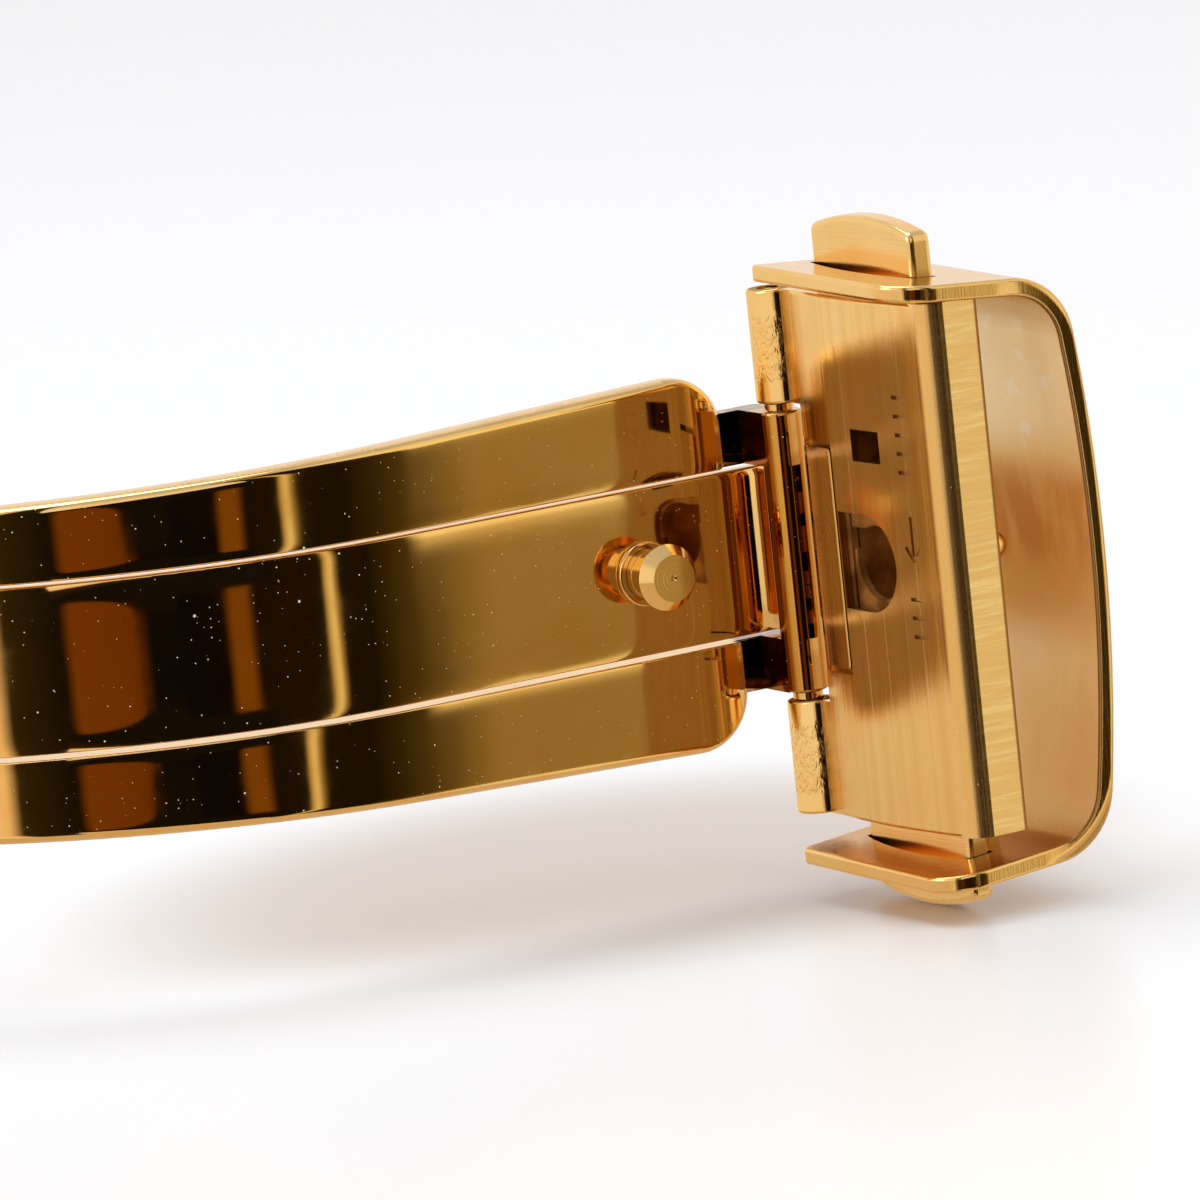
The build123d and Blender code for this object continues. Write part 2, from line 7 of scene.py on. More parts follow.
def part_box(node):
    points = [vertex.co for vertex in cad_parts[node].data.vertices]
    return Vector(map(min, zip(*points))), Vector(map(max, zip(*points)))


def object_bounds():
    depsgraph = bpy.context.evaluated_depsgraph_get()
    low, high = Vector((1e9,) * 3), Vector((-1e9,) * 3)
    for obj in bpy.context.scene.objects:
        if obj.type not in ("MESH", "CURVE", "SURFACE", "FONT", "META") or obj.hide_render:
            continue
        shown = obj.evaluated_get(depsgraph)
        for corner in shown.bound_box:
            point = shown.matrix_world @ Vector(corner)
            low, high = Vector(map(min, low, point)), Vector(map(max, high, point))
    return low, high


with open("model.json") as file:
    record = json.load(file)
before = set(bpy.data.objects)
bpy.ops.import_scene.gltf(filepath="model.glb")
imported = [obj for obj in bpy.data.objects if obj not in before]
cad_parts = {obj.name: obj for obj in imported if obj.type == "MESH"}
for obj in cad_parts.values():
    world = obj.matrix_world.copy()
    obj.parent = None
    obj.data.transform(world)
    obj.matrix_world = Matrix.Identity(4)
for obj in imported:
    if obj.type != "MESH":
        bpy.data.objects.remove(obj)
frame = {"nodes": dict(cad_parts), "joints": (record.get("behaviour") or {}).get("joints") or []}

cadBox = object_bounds()
mm = 0.001
scene = bpy.context.scene
headHinge = next(joint for joint in frame["joints"] if joint["name"] == "head_hinge")


# Shader maths: a Wire is one output socket, and the usual operators add the Math nodes.

class Wire:
    def __init__(self, tree, socket):
        self.tree = tree
        self.socket = socket

    def maths(self, how, *others, flip=False):
        values = [self, *others]
        if flip:
            values.reverse()
        return self.tree.add("Math", {"operation": how}, dict(enumerate(values)))

    def __add__(self, other):
        return self.maths("ADD", other)

    def __sub__(self, other):
        return self.maths("SUBTRACT", other)

    def __rsub__(self, other):
        return self.maths("SUBTRACT", other, flip=True)

    def __mul__(self, other):
        return self.maths("MULTIPLY", other)

    def __truediv__(self, other):
        return self.maths("DIVIDE", other)

    def __rtruediv__(self, other):
        return self.maths("DIVIDE", other, flip=True)

    def __pow__(self, other):
        return self.maths("POWER", other)

    def __neg__(self):
        return self.maths("MULTIPLY", -1.0)

    __radd__ = __add__
    __rmul__ = __mul__

    def clamped(self):
        return self.tree.add("Clamp", {}, {"Value": self})

    def size(self):
        return self.maths("ABSOLUTE")

    def rise(self, low, high):
        # 0 below low, 1 above high, smooth between
        return self.tree.add("MapRange", {"interpolation_type": "SMOOTHSTEP"},
                             {"Value": self, "From Min": low, "From Max": high})

    def band(self, low, high, soft):
        # 1 between low and high, falling to 0 over soft at each side
        return self.rise(low - soft, low) * (1 - self.rise(high, high + soft))


class Tree:
    def __init__(self, nodeTree):
        self.nodeTree = nodeTree

    def add(self, kind, settings, sockets, out=0):
        node = self.nodeTree.nodes.new("ShaderNode" + kind)
        for name, value in settings.items():
            if name == "stops":
                self.setStops(node.color_ramp, value)
            else:
                setattr(node, name, value)
        for key, value in sockets.items():
            self.feed(node.inputs[key], value)
        return Wire(self, node.outputs[out]) if node.outputs else None

    def feed(self, socket, value):
        if isinstance(value, Wire):
            self.nodeTree.links.new(value.socket, socket)
        else:
            socket.default_value = value

    def setStops(self, ramp, stops):
        while len(ramp.elements) < len(stops):
            ramp.elements.new(0.5)
        for element, (place, colour) in zip(ramp.elements, stops):
            element.position = place
            element.color = (*colour, 1)

    def parts(self, vector):
        # the three numbers of a vector
        node = self.add("SeparateXYZ", {}, {0: vector}).socket.node
        return [Wire(self, node.outputs[axis]) for axis in "XYZ"]

    def vector(self, x, y, z=0.0):
        return self.add("CombineXYZ", {}, {0: x, 1: y, 2: z})

    def mix(self, factor, first, second):
        colours = [(*c, 1) if isinstance(c, tuple) else c for c in (first, second)]
        return self.add("Mix", {"data_type": "RGBA"}, {0: factor, 6: colours[0], 7: colours[1]}, 2)

    def place(self, stretch=(1, 1, 1), turn=(0, 0, 0)):
        # the surface point in millimetres, turned by degrees and stretched
        here = self.add("TexCoord", {}, {}, "Object")
        scale = tuple(s / mm for s in stretch)
        turned = self.add("VectorRotate", {"rotation_type": "EULER_XYZ"},
                          {"Vector": here, "Rotation": tuple(math.radians(a) for a in turn)})
        return self.add("VectorMath", {"operation": "MULTIPLY"}, {0: turned, 1: scale})

    def facing(self):
        # which way the surface faces, in the piece's own frame
        return self.parts(self.add("TexCoord", {}, {}, "Normal"))

    def trueFacing(self):
        # the same without the smoothing between faces
        real = self.add("NewGeometry", {}, {}, "True Normal")
        settings = {"vector_type": "NORMAL", "convert_from": "WORLD", "convert_to": "OBJECT"}
        return self.parts(self.add("VectorTransform", settings, {0: real}))

    def noise(self, where, scale, detail, roughness=0.5):
        return self.add("TexNoise", {}, {"Vector": where, "Scale": scale, "Detail": detail,
                                         "Roughness": roughness}, "Fac")

    def grain(self, stretch, detail, roughness=0.5, turn=(0, 0, 0)):
        # noise with this many cells per millimetre along each axis
        return self.noise(self.place(stretch, turn), 1.0, detail, roughness)

    def dust(self, scale, size, share):
        # round specks in a share of the cells, each of its own size
        smallest = 0.25
        sockets = {"Vector": self.place(), "Scale": scale}
        near = self.add("TexVoronoi", {}, sockets, "Distance")
        lucky, grade, _ = self.parts(self.add("TexVoronoi", {}, sockets, "Color"))
        near = near / (grade + smallest)
        return (1 - near.rise(size / 2, size)) * lucky.rise(1 - share, 1.01 - share)

    def crevice(self, reach):
        # 1 deep in a joint or corner narrower than reach, in mm
        return 1 - self.add("AmbientOcclusion", {"samples": 6}, {"Distance": reach * mm}, "AO")

    def towards(self, share, way):
        # the surface's own normal, drawn by a share towards another way in the piece's frame
        own = self.add("TexCoord", {}, {}, "Normal")
        mixed = self.add("Mix", {"data_type": "VECTOR"}, {0: share, 4: own, 5: way}, 1)
        settings = {"vector_type": "NORMAL", "convert_from": "OBJECT", "convert_to": "WORLD"}
        turned = self.add("VectorTransform", settings, {0: mixed})
        return self.add("VectorMath", {"operation": "NORMALIZE"}, {0: turned})

    def bump(self, height, normal=None):
        # height is in millimetres
        sockets = {"Height": height, "Distance": mm}
        if normal:
            sockets["Normal"] = normal
        return self.add("Bump", {}, sockets)


def newFinish(name):
    material = bpy.data.materials.new(name)
    material.use_nodes = True
    tree = Tree(material.node_tree)
    shader = material.node_tree.nodes["Principled BSDF"]
    return material, tree, shader


# Camera and picture

cameraLook = {
    "azimuth": -30.15,       # degrees round Z, 0 looks along +Y
    "elevation": 9.55,
    "roll": -5.93,
    "distance": 400.0,       # mm from the head hinge
    "pixelsPerMm": 30.267,   # at the hinge, in a picture of this many pixels
    "pictureSize": 1200,
    "sensor": 36.0,
    "slideRight": -6.394,    # mm from the hinge, in the picture plane
    "slideUp": -1.664,
    "clipStart": 10.0,
}


def makeCamera(look):
    azimuth, elevation = math.radians(look["azimuth"]), math.radians(look["elevation"])
    roll = math.radians(look["roll"])
    back = Vector((math.sin(azimuth) * math.cos(elevation), -math.cos(azimuth) * math.cos(elevation),
                   math.sin(elevation)))
    level = Vector((math.cos(azimuth), math.sin(azimuth), 0))
    upright = back.cross(level)
    right = level * math.cos(roll) + upright * math.sin(roll)
    up = upright * math.cos(roll) - level * math.sin(roll)
    data = bpy.data.cameras.new("photoCamera")
    data.sensor_width = look["sensor"]
    data.lens = look["sensor"] * look["pixelsPerMm"] * look["distance"] / look["pictureSize"]
    data.clip_start = look["clipStart"] * mm
    camera = bpy.data.objects.new("photoCamera", data)
    scene.collection.objects.link(camera)
    place = Vector(headHinge["pos_m"])
    place += (back * look["distance"] + right * look["slideRight"] + up * look["slideUp"]) * mm
    turn = Matrix((right, up, back)).transposed().to_4x4()
    camera.matrix_world = Matrix.Translation(place) @ turn
    scene.camera = camera


makeCamera(cameraLook)
scene.view_settings.view_transform = "Standard"
print("camera placed")


# Studio: room, table and lamps. Angles are in degrees, round Z or above level.

roomLook = {
    "plain": 0.70,           # light on matt surfaces
    "plainTint": (1.0, 0.955, 0.93),
    "background": (0.925, 0.925, 0.935),
    "ground": (0.66, 0.51, 0.37),    # mirrored from below the table's edge, level and above
    "bright": (0.95, 0.89, 0.85),
    "sky": (0.58, 0.59, 0.68),
    "groundEdge": (-11.2, -8.2),
    "skyEdge": (25, 60),
    "low": -42.0,            # the painted front reaches this far down and up
    "high": 58.0,
    "fadeUp": 10,
    "frontFrom": -150.0,
    "frontTo": -40.0,
    "fadeRound": 0.5,
    "cardFrom": -131.0,      # the brown cards in the front stop short above and below
    "cardTo": -91.0,
    "cardSoft": 1.0,
    "cardLevel": -9.6,
    "cardBow": 0.06,
    "cardWide": 3.2,         # half the height of the first card, at its left and right
    "cardNarrow": 0.2,
    "taperStart": 3,         # past the card's left end
    "taperLength": 12.5,
    "pillFrom": -107.0,
    "pillHalf": 1.9,
    "cardGap": (0.008, 0.006, 0.003),
    "paleFrom": -64.5,       # the flat blades turn paler towards their upper edges
    "paleTo": -57.0,
    "paleSoft": 2,
    "paleRise": (-10.5, 0),
    "pale": (0.62, 0.50, 0.29),
    "streakRise": (-1, 6),
    "streak": (1.0, 0.90, 0.62),     # and brightest where they roll over
    "deep": (0.30, 0.225, 0.15),     # the front, mirrored twice
    "deepShare": 0.8,
    "deepAfter": 2.5,        # ray depth: one mirror and the room itself make 2
    "front": [               # what the bent blades mirror: degrees and colour
        (-150.0, (0.95, 0.89, 0.85)),
        (-144.0, (0.88, 0.66, 0.45)),
        (-141.5, (0.03, 0.02, 0.005)),
        (-130.0, (0.008, 0.006, 0.003)),
        (-128.0, (0.17, 0.05, 0.003)),
        (-117.0, (0.15, 0.042, 0.001)),
        (-113.5, (0.005, 0.004, 0.003)),
        (-98.8, (0.005, 0.003, 0.002)),
        (-97.3, (0.19, 0.068, 0.005)),
        (-94.3, (0.19, 0.068, 0.005)),
        (-92.6, (0.012, 0.006, 0.002)),
        (-87.0, (0.012, 0.008, 0.003)),
        (-85.9, (0.012, 0.008, 0.003)),
        (-85.0, (0.62, 0.46, 0.20)),
        (-84.0, (0.85, 0.72, 0.46)),
        (-83.0, (0.30, 0.20, 0.06)),
        (-82.0, (0.012, 0.008, 0.003)),
        (-74.0, (0.012, 0.008, 0.002)),
        (-70.0, (0.03, 0.019, 0.004)),
        (-66.4, (0.062, 0.042, 0.011)),
        (-63.8, (0.13, 0.088, 0.028)),
        (-61.9, (0.235, 0.16, 0.058)),
        (-60.8, (0.30, 0.20, 0.078)),
        (-58.8, (0.33, 0.23, 0.10)),
        (-58.2, (0.80, 0.68, 0.45)),
        (-40.0, (0.95, 0.89, 0.85)),
    ],
}


def paintFront(tree, around, above, look):
    # the colour of the painted front, and where it shows
    def onCards(place):
        return place.band(look["cardFrom"], look["cardTo"], look["cardSoft"])

    offLevel = above - look["cardLevel"]
    around = around - onCards(around) * offLevel * offLevel * look["cardBow"]
    taper = ((around - look["cardFrom"] - look["taperStart"]) / look["taperLength"]).clamped()
    half = look["cardWide"] - taper * taper * (look["cardWide"] - look["cardNarrow"])
    pill = around.rise(look["pillFrom"] - 1, look["pillFrom"])
    half = half + pill * (look["pillHalf"] - look["cardNarrow"])
    offCard = onCards(around) * (offLevel.size() - half).rise(0, 0.5)
    span = look["frontTo"] - look["frontFrom"]
    stops = [((degrees - look["frontFrom"]) / span, colour) for degrees, colour in look["front"]]
    front = tree.add("ValToRGB", {"stops": stops}, {0: (around - look["frontFrom"]) / span})
    front = tree.mix(offCard, front, look["cardGap"])
    pale = around.band(look["paleFrom"], look["paleTo"], look["paleSoft"]) * above.rise(*look["paleRise"])
    front = tree.mix(pale, front, tree.mix(above.rise(*look["streakRise"]), look["pale"], look["streak"]))
    shown = above.band(look["low"], look["high"], look["fadeUp"])
    return front, shown * around.band(look["frontFrom"], look["frontTo"], look["fadeRound"])


def makeRoom(look):
    world = bpy.data.worlds.new("studioRoom")
    scene.world = world
    world.use_nodes = True
    world.node_tree.nodes.clear()
    tree = Tree(world.node_tree)
    x, y, z = tree.parts(tree.add("TexCoord", {}, {}, "Generated"))
    around = y.maths("ARCTAN2", x) * math.degrees(1)
    above = z.maths("ARCSINE") * math.degrees(1)
    outside = tree.mix(above.rise(*look["groundEdge"]), look["ground"], look["bright"])
    outside = tree.mix(above.rise(*look["skyEdge"]), outside, look["sky"])
    front, shown = paintFront(tree, around, above, look)
    path = tree.add("LightPath", {}, {}).socket.node
    rayDepth, camera, glossy, through = (
        Wire(tree, path.outputs[name])
        for name in ("Ray Depth", "Is Camera Ray", "Is Glossy Ray", "Is Transmission Ray"))
    twice = rayDepth.maths("GREATER_THAN", look["deepAfter"])
    front = tree.mix(twice * look["deepShare"], front, look["deep"])
    colour = tree.mix(shown, outside, front)
    plain = tree.add("Background", {}, {"Color": (*look["plainTint"], 1), "Strength": look["plain"]})
    mirrored = tree.add("Background", {}, {"Color": colour, "Strength": 1.0})
    seen = tree.add("Background", {}, {"Color": (*look["background"], 1), "Strength": 1.0})
    light = tree.add("MixShader", {}, {0: (glossy + through).clamped(), 1: plain, 2: mirrored})
    light = tree.add("MixShader", {}, {0: camera, 1: light, 2: seen})
    tree.add("OutputWorld", {}, {"Surface": light})


makeRoom(roomLook)

tableLook = {
    "size": 4000.0,
    "gap": 0.02,             # below the lowest point
    "colour": (0.865, 0.895, 0.935),
    # painted light: the table turns paler towards the front, where the lamps' light falls off
    "paintedNearLight": (1.0, 0.985, 0.965),
    "paintedNearLightRise": (12.0, 55.0),        # where the painted light starts and is full, mm along -Y from the bore
    "paintedShadow": (0.51, 0.42, 0.36),      # painted shadow, warm from the gold, under the part: an oval patch
    "paintedShadowShare": 0.8,
    "paintedShadowMiddle": (-6.0, 9.0),
    "paintedShadowHalf": (21.0, 20.0),
    "paintedShadowFade": (0.1, 1.0),
    "roughness": 0.34,
    "specular": 0.5,
}


def makeTable(look):
    half = look["size"] / 2 * mm
    low = cadBox[0][2] - look["gap"] * mm
    mesh = bpy.data.meshes.new("table")
    corners = [(-half, -half, low), (half, -half, low), (half, half, low), (-half, half, low)]
    mesh.from_pydata(corners, [], [(0, 1, 2, 3)])
    table = bpy.data.objects.new("table", mesh)
    scene.collection.objects.link(table)
    material, tree, shader = newFinish("palePolishedTable")
    x, y, _ = tree.parts(tree.place())
    # painted shadow: an oval under the part darkens the table
    sides = [(a - m) / h for a, m, h in zip((x, y), look["paintedShadowMiddle"], look["paintedShadowHalf"])]
    paintedShadow = 1 - (sides[0] * sides[0] + sides[1] * sides[1]).rise(*look["paintedShadowFade"])
    colour = tree.mix((-y).rise(*look["paintedNearLightRise"]), look["colour"], look["paintedNearLight"])
    tree.feed(shader.inputs["Base Color"], tree.mix(paintedShadow * look["paintedShadowShare"], colour, look["paintedShadow"]))
    shader.inputs["Roughness"].default_value = look["roughness"]
    shader.inputs["Specular IOR Level"].default_value = look["specular"]
    mesh.materials.append(material)
    table.visible_glossy = False


makeTable(tableLook)

lampLook = [
    # name, place in mm, aim, width in mm, watts, colour, mirrored in the metal
    ("overheadBox", (-60, 120, 420), (-10, 0, 0), 300, 0.95, (0.93, 0.97, 1.0), True),
    ("leftBox", (-420, 60, 180), (-10, 0, 0), 200, 0.28, (0.93, 0.97, 1.0), True),
    ("frontBox", (60, -260, 300), (0, -70, -10), 260, 0.27, (1.0, 0.98, 0.95), False),
]


def makeLamps(lamps):
    for name, place, aim, width, watts, colour, mirrored in lamps:
        data = bpy.data.lights.new(name, "AREA")
        data.color = colour
        data.size = width * mm
        data.energy = watts
        lamp = bpy.data.objects.new(name, data)
        lamp.location = Vector(place) * mm
        lamp.visible_glossy = mirrored
        way = (Vector(aim) - Vector(place)).to_track_quat("-Z", "Y")
        lamp.rotation_euler = way.to_euler()
        scene.collection.objects.link(lamp)


makeLamps(lampLook)
print("room, table and lamps made")


# Finishes. Places are in mm in the pieces' own frame, where they lie as the part does at rest.
# A dust entry is specks per mm, their size and the share of places that hold one. Lines, grain
# and cells are given per mm along X, Y and Z. A pair is where an effect starts and is full.

hingeX, hingeY = headHinge["pos_m"][0] / mm, headHinge["pos_m"][1] / mm
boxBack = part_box("back_plate")[1][0] / mm - hingeX       # depth of the box's back
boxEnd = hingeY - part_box("catch_box")[0][1] / mm         # how far it reaches out from the hinge
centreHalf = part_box("centre_blade")[1][2] / mm

goldLook = {
    "colour": (0.95, 0.64, 0.25),
    "deep": (0.92, 0.58, 0.19),
    "cloudScale": 0.4,       # per mm
    "cloud": (0.35, 0.75),
    "dustColour": (0.98, 0.86, 0.62),
    "dustDull": 0.75,        # metal lost under the dust
    # grime, and painted shade, in the corners and joints
    "grimeAndShade": (0.36, 0.17, 0.045),
    "grimeAndShadeReach": 0.35,      # mm
    "grimeAndShadeFrom": 0.3,
    "grimeAndShadeShare": 0.85,
}


def clouded(tree, look=goldLook):
    cloud = tree.noise(tree.place(), goldLook["cloudScale"], 3)
    return tree.mix(cloud.rise(*goldLook["cloud"]), look["colour"], look["deep"])


# darkens corners and joints: partly grime, partly painted shade
def grimedAndShaded(tree, colour, look=goldLook):
    dark = tree.crevice(look["grimeAndShadeReach"]).rise(look["grimeAndShadeFrom"], 1.0)
    return tree.mix(dark * look["grimeAndShadeShare"], colour, look["grimeAndShade"])


def layDust(tree, shader, dust, colour, metal=1.0, dull=goldLook["dustDull"], look=goldLook):
    tree.feed(shader.inputs["Base Color"], tree.mix(dust, colour, look["dustColour"]))
    tree.feed(shader.inputs["Metallic"], (metal - dust * dull).clamped())


bladeLook = {
    "roughness": 0.04,
    "haze": 0.045,           # roughness where the polish is hazed, along hairlines and under dust
    "hazeScale": 0.6,
    "hazeRise": (0.4, 0.8),
    "lineRough": 0.04,
    "lineRise": (0.55, 0.8),
    "lines": (0.25, 1, 7),
    "lineTurn": (0, 25, 0),
    "dustRough": 0.4,
    "dust": [(1.15, 0.06, 0.9), (2.6, 0.075, 0.7), (4.5, 0.1, 0.5)],
    "dustHeight": 0.004,
    "wave": 0.014,           # height of the slow waves in the polish, and of the fine ones
    "waveStretch": (1, 1, 0.5),
    "waveScale": 0.25,
    "ripple": 0.0016,
    "rippleStretch": (0.3, 1, 1),
    "rippleScale": 0.9,
    "bendAt": -17.5,         # along X, where the flat ends
    "bendRadius": 20.0,
    "bendEase": 4.0,         # the bend starts this much before, and is full this much after
    "early": 1.15,           # the centre blade is ahead in its bend by this many mm
    "earlyFrom": 16.8,       # between these, from the hinge along the blade
    "earlyTo": 17.1,
    "earlySoft": 2.4,
    "edgeTurn": 0.2,         # how far the faces lean over at their long edges
    "edgeSharpness": 7,
    "sideGap": 0.12,         # between the centre blade and the rails
    "slotRound": 0.06,       # rounding of the edges along the slot
    "outerRound": 0.33,
    "railEdge": 6.3,         # the rails' outer edges level with the hinge, and how they close in
    "lowerExtra": 0.2,
    "taper": 0.0325,
    "flatSoft": 0.1,
    "flatFit": 0.12,         # faces this near the worked-out way take it, on the flat and bend
    "roundFit": 0.95,        # and on the corners and knuckles
    "fitSoft": 0.03,
    "foldAt": -31.4,         # along X, the fold's knuckles and the rails' rounded corners
    "cornerAt": -7.2,
    "endAt": -5.0,           # along X, where the rails and the centre blade have rolled over
    "centreEndAt": -3.6,
    "endSoft": 2.2,
    "endTurn": 0.75,
    "armFrom": -5.1,         # the stepped arms, darker where no polish reaches
    "armSoft": 0.1,
    "armDepth": (0.8, 1.0),
    "armDeep": (0.24, 0.11, 0.03),
    "armPale": (0.62, 0.40, 0.17),
    "mottleScale": 2.2,
    "mottle": (0.45, 0.7),
    "knuckle": (0.66, 0.33, 0.06),
    "knuckleShade": (0.34, 0.11, 0.01),
    "knuckleSide": (0.8, 0.93),
}


def bladeBend(x, centre, look):
    # how far the blade has turned in its bend, in radians
    radius, ease = look["bendRadius"], look["bendEase"]
    past = (look["bendAt"] - x) / radius
    along = past.maths("MAXIMUM", -1.0).maths("MINIMUM", 1.0).maths("ARCSINE") * radius
    if centre:
        fromHinge = along + (hingeX - look["bendAt"])
        along = along + fromHinge.band(look["earlyFrom"], look["earlyTo"], look["earlySoft"]) * look["early"]
    begun = ((along + ease) / (2 * ease)).clamped()
    return (begun * begun * ease + (along - ease).maths("MAXIMUM", 0.0)) / radius


def bladeRoll(x, z, centre, look):
    # how far the face leans towards its long edges: a little over its width, then round the edge
    side = z.maths("SIGN")
    if centre:
        across = z / centreHalf
        rounding = (1 - (centreHalf - z.size()) / look["slotRound"]).clamped()
    else:
        lower = 1 - z.maths("GREATER_THAN", 0.0)
        slot = centreHalf + look["sideGap"]
        outer = lower * look["lowerExtra"] + look["railEdge"] - (hingeX - x) * look["taper"]
        slotGap = z.size() - slot
        across = (slotGap * 2 / (outer - slot) - 1) * side
        rounding = (1 - (outer - z.size()) / look["outerRound"]).clamped()
        rounding = rounding - (1 - slotGap / look["slotRound"]).clamped()
    lean = across * across.size().maths("MINIMUM", 1.0) ** look["edgeSharpness"] * look["edgeTurn"]
    return lean + side * rounding


def bladeNormal(tree, x, z, centre, look):
    # the exact way the polished faces look, because the mirror shows every facet of a mesh
    bend = bladeBend(x, centre, look)
    roll = bladeRoll(x, z, centre, look)
    level = (1 - roll * roll).maths("MAXIMUM", 0.0) ** 0.5
    endAt = look["centreEndAt"] if centre else look["endAt"]
    over = ((x - (endAt - look["endSoft"])) / look["endSoft"]).clamped() ** 2 * look["endTurn"]
    way = tree.vector((over - bend.maths("SINE")) * level, -bend.maths("COSINE") * level, roll)
    faceX, faceY, _ = tree.trueFacing()
    match = faceX * -bend.maths("SINE") - faceY * bend.maths("COSINE")
    flatTo = look["centreEndAt"] if centre else look["cornerAt"]
    flat = x.band(look["foldAt"], flatTo, look["flatSoft"])
    limit = look["roundFit"] - flat * (look["roundFit"] - look["flatFit"])
    return tree.towards((match - limit).rise(0, look["fitSoft"]), way)


def armGold(tree, x, y, polished, look):
    # past the rails: the dull stepped arms, and before them the head hinge's knuckle
    mottled = tree.noise(tree.place(), look["mottleScale"], 4).rise(*look["mottle"])
    dull = tree.mix(mottled, look["armDeep"], look["armPale"])
    leftSide = (-tree.facing()[0]).rise(*look["knuckleSide"])
    knuckle = tree.mix(leftSide, look["knuckle"], look["knuckleShade"])
    arm = x.rise(look["armFrom"] - look["armSoft"], look["armFrom"])
    behind = (y - hingeY).rise(*look["armDepth"])
    return tree.mix(arm, polished, tree.mix(behind, knuckle, dull))


def bladeGold(name, centre, look=bladeLook):
    # mirror polish with soft edges, under fine dust
    material, tree, shader = newFinish(name)
    x, y, z = tree.parts(tree.place())
    dust = sum(tree.dust(*grade) for grade in look["dust"])
    colour = clouded(tree)
    if not centre:
        colour = armGold(tree, x, y, colour, look)
    layDust(tree, shader, dust, colour)
    haze = tree.noise(tree.place(), look["hazeScale"], 4).rise(*look["hazeRise"])
    hairlines = tree.grain(look["lines"], 4, 0.7, look["lineTurn"])
    rough = haze * look["haze"] + hairlines.rise(*look["lineRise"]) * look["lineRough"]
    rough = rough + dust * look["dustRough"] + look["roughness"]
    tree.feed(shader.inputs["Roughness"], rough.clamped())
    wave = tree.noise(tree.place(look["waveStretch"]), look["waveScale"], 1)
    ripple = tree.noise(tree.place(look["rippleStretch"]), look["rippleScale"], 1)
    height = wave * look["wave"] + ripple * look["ripple"] + dust * look["dustHeight"]
    tree.feed(shader.inputs["Normal"], tree.bump(height, bladeNormal(tree, x, z, centre, look)))
    return material


turnedLook = {
    "roughness": 0.07,
    "ringRough": 0.08,
    "ringsPerMm": 16.0,
    "ringDepth": 0.0012,
    "axisPerMm": 6.0,        # how fast the rings change along the axis
    "dust": (2.4, 0.06, 0.3),
    "dustRough": 0.3,
}


def turnedGold(name, axis, centre, look=turnedLook):
    # fine tool rings round an axis, 0 to 2 for X to Z, through a centre in mm
    material, tree, shader = newFinish(name)
    spot = tree.parts(tree.place())
    sides = [spot[i] - centre[i] for i in range(3) if i != axis]
    reach = (sides[0] * sides[0] + sides[1] * sides[1]) ** 0.5
    where = tree.vector(reach * look["ringsPerMm"], spot[axis] * look["axisPerMm"])
    rings = tree.noise(where, 1.0, 2)
    dust = tree.dust(*look["dust"])
    layDust(tree, shader, dust, grimedAndShaded(tree, clouded(tree)))
    rough = rings * look["ringRough"] + dust * look["dustRough"] + look["roughness"]
    tree.feed(shader.inputs["Roughness"], rough.clamped())
    tree.feed(shader.inputs["Normal"], tree.bump(rings * look["ringDepth"]))
    return material


boxLook = {
    "gold": (0.95, 0.64, 0.25),
    "deep": (0.92, 0.58, 0.19),
    "deepRise": (0.35, 0.7),
    "metallic": 0.94,        # on the brushed faces
    "dust": (2.4, 0.05, 0.25),
    "dustDull": 0.7,
    "dustRough": 0.3,
    "roughness": 0.07,
    "lines": (12, 12, 0.02),
    "coarseLines": (2.4, 2.4, 0.008),
    "coarseHeight": 2,
    "lineRough": 0.08,
    "depth": 0.005,
    "scratch": (0.58, 0.7),  # the strongest lines are scratched to a paler metal
    "scratchShare": 0.5,
    "scratchDull": 0.3,
    "rollWide": 0.78,        # along the box, and below the hinge's level, that the round takes
    "rollDeep": 0.85,
    "endFrom": 0.6,          # share of that depth where the end face starts
    "rollSoft": 0.3,
    "rollRough": 0.16,
    "endRise": (0.12, 0.02),         # before the end face's plane
    "endRough": 0.22,
    "endDepth": 0.004,
    "endLean": 0.075,        # slope that turns the end face's reflections outwards
    "endDeep": (0.90, 0.60, 0.22),
    "endLines": (0.5, 12, 12),
    "barLines": (0.25, 1, 5),
    "bars": (0.45, 0.7),
    "barHeight": 0.6,
    "edgeLine": (0.14, 0.05),        # before the end face's far edge
    "worn": (1.0, 0.76, 0.34),
    # painted shade on the walls of the holes through the plate
    "wall": (0.34, 0.14, 0.04),
    "wallFacing": (0.3, 0.7),
    "wallRough": 0.3,
    "wallSoft": 0.2,
    "wallsTo": 6.0,          # the holes lie within this height of the middle
    "wornWidth": 0.14,
    "wornTurn": 3.5,
}

stopLook = {**boxLook, "gold": (0.88, 0.53, 0.16), "deep": (0.74, 0.40, 0.10)}


